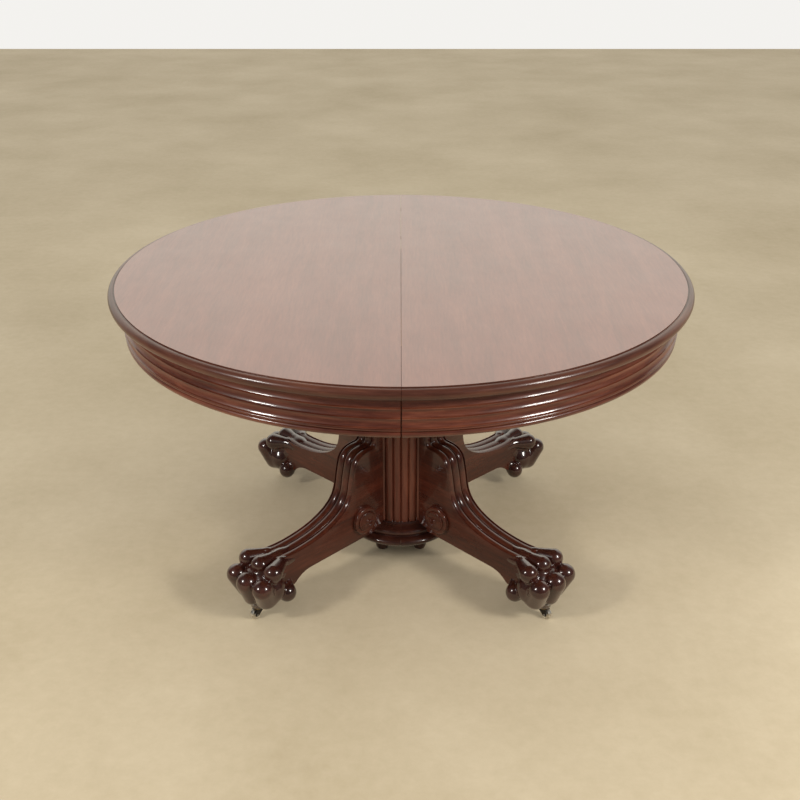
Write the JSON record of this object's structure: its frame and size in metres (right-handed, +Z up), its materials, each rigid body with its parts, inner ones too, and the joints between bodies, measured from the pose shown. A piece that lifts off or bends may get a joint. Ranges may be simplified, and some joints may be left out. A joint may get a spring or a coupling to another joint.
{
  "type": "round pedestal extension dining table",
  "caption": "Round mahogany dining table with a moulded apron on a split reeded pedestal with carved paw feet on casters; it opens along the middle seam.",
  "frame": {"origin": "on the floor under the centre of the closed top", "axes": "+X the way the right half draws away, +Y to the back along the seam, +Z up"},
  "size_m": [1.372, 1.372, 0.762],
  "materials": {
    "top_mahogany": "polished satin",
    "apron_mahogany": "polished",
    "pedestal_mahogany": "gloss",
    "secondary_wood": "planed",
    "fastener_steel": "plain",
    "aged_brass": "aged",
    "caster_iron": "dark",
    "wheel_steel": "worn bright"
  },
  "bodies": {
    "left_half": {"top_left": "top_mahogany", "apron_left": "apron_mahogany", "glue_blocks_left": "secondary_wood", "alignment_dowels": "secondary_wood", "slide_rails_left": "secondary_wood", "top_screws_left": "fastener_steel", "bearer_left": "secondary_wood", "bearer_screws_left": "fastener_steel", "column_left": "pedestal_mahogany", "base_left": "pedestal_mahogany", "bun_feet_left": "pedestal_mahogany", "leg_bolts_left": "fastener_steel", "leg_front_left": "pedestal_mahogany", "leg_back_left": "pedestal_mahogany", "paw_front_left": "pedestal_mahogany", "paw_back_left": "pedestal_mahogany", "rosettes_front_left": "pedestal_mahogany", "rosettes_back_left": "pedestal_mahogany", "caster_sockets_left": "aged_brass", "catch_keepers": "aged_brass"},
    "right_half": {"top_right": "top_mahogany", "apron_right": "apron_mahogany", "glue_blocks_right": "secondary_wood", "slide_rails_right": "secondary_wood", "top_screws_right": "fastener_steel", "bearer_right": "secondary_wood", "bearer_screws_right": "fastener_steel", "column_right": "pedestal_mahogany", "base_right": "pedestal_mahogany", "bun_feet_right": "pedestal_mahogany", "leg_bolts_right": "fastener_steel", "leg_front_right": "pedestal_mahogany", "leg_back_right": "pedestal_mahogany", "paw_front_right": "pedestal_mahogany", "paw_back_right": "pedestal_mahogany", "rosettes_front_right": "pedestal_mahogany", "rosettes_back_right": "pedestal_mahogany", "caster_sockets_right": "aged_brass", "catch_plates": "aged_brass"},
    "centre_frame": {"slide_rails_centre": "secondary_wood", "slide_stop_pins": "secondary_wood", "centre_batten": "secondary_wood", "batten_screws": "fastener_steel", "centre_leg": "pedestal_mahogany", "centre_leg_glide": "fastener_steel"},
    "swivel_front_left": {"caster_fork_front_left": "caster_iron", "caster_axle_front_left": "fastener_steel"},
    "wheel_front_left": {"caster_wheel_front_left": "wheel_steel"},
    "swivel_front_right": {"caster_fork_front_right": "caster_iron", "caster_axle_front_right": "fastener_steel"},
    "wheel_front_right": {"caster_wheel_front_right": "wheel_steel"},
    "swivel_back_left": {"caster_fork_back_left": "caster_iron", "caster_axle_back_left": "fastener_steel"},
    "wheel_back_left": {"caster_wheel_back_left": "wheel_steel"},
    "swivel_back_right": {"caster_fork_back_right": "caster_iron", "caster_axle_back_right": "fastener_steel"},
    "wheel_back_right": {"caster_wheel_back_right": "wheel_steel"},
    "catch_front": {"catch_lever_front": "aged_brass"},
    "catch_back": {"catch_lever_back": "aged_brass"}
  },
  "joints": [
    {"name": "right_half_slide", "type": "slide", "parent": "left_half", "child": "right_half", "axis": [1, 0, 0], "range_m": [0, 1.22]},
    {"name": "centre_frame_slide", "type": "slide", "parent": "left_half", "child": "centre_frame", "axis": [1, 0, 0], "range_m": [0, 0.61]},
    {"name": "caster_swivel_front_left", "type": "hinge", "parent": "left_half", "child": "swivel_front_left", "pos_m": [-0.34295, -0.34295, 0.05], "axis": [0, 0, 1], "continuous": true},
    {"name": "caster_roll_front_left", "type": "hinge", "parent": "swivel_front_left", "child": "wheel_front_left", "pos_m": [-0.35002, -0.35002, 0.013], "axis": [0.7071, -0.7071, 0], "continuous": true},
    {"name": "caster_swivel_front_right", "type": "hinge", "parent": "right_half", "child": "swivel_front_right", "pos_m": [0.34295, -0.34295, 0.05], "axis": [0, 0, 1], "continuous": true},
    {"name": "caster_roll_front_right", "type": "hinge", "parent": "swivel_front_right", "child": "wheel_front_right", "pos_m": [0.35002, -0.35002, 0.013], "axis": [0.7071, 0.7071, 0], "continuous": true},
    {"name": "caster_swivel_back_left", "type": "hinge", "parent": "left_half", "child": "swivel_back_left", "pos_m": [-0.34295, 0.34295, 0.05], "axis": [0, 0, 1], "continuous": true},
    {"name": "caster_roll_back_left", "type": "hinge", "parent": "swivel_back_left", "child": "wheel_back_left", "pos_m": [-0.35002, 0.35002, 0.013], "axis": [-0.7071, -0.7071, 0], "continuous": true},
    {"name": "caster_swivel_back_right", "type": "hinge", "parent": "right_half", "child": "swivel_back_right", "pos_m": [0.34295, 0.34295, 0.05], "axis": [0, 0, 1], "continuous": true},
    {"name": "caster_roll_back_right", "type": "hinge", "parent": "swivel_back_right", "child": "wheel_back_right", "pos_m": [0.35002, 0.35002, 0.013], "axis": [-0.7071, 0.7071, 0], "continuous": true},
    {"name": "catch_turn_front", "type": "hinge", "parent": "right_half", "child": "catch_front", "pos_m": [0.04, -0.48, 0.7287], "axis": [0, 0, 1], "range_deg": [0, 90]},
    {"name": "catch_turn_back", "type": "hinge", "parent": "right_half", "child": "catch_back", "pos_m": [0.04, 0.48, 0.7287], "axis": [0, 0, 1], "range_deg": [0, 90]}
  ],
  "couplings": [
    {"joint": "centre_frame_slide", "follows": "right_half_slide", "ratio": 0.5}
  ]
}
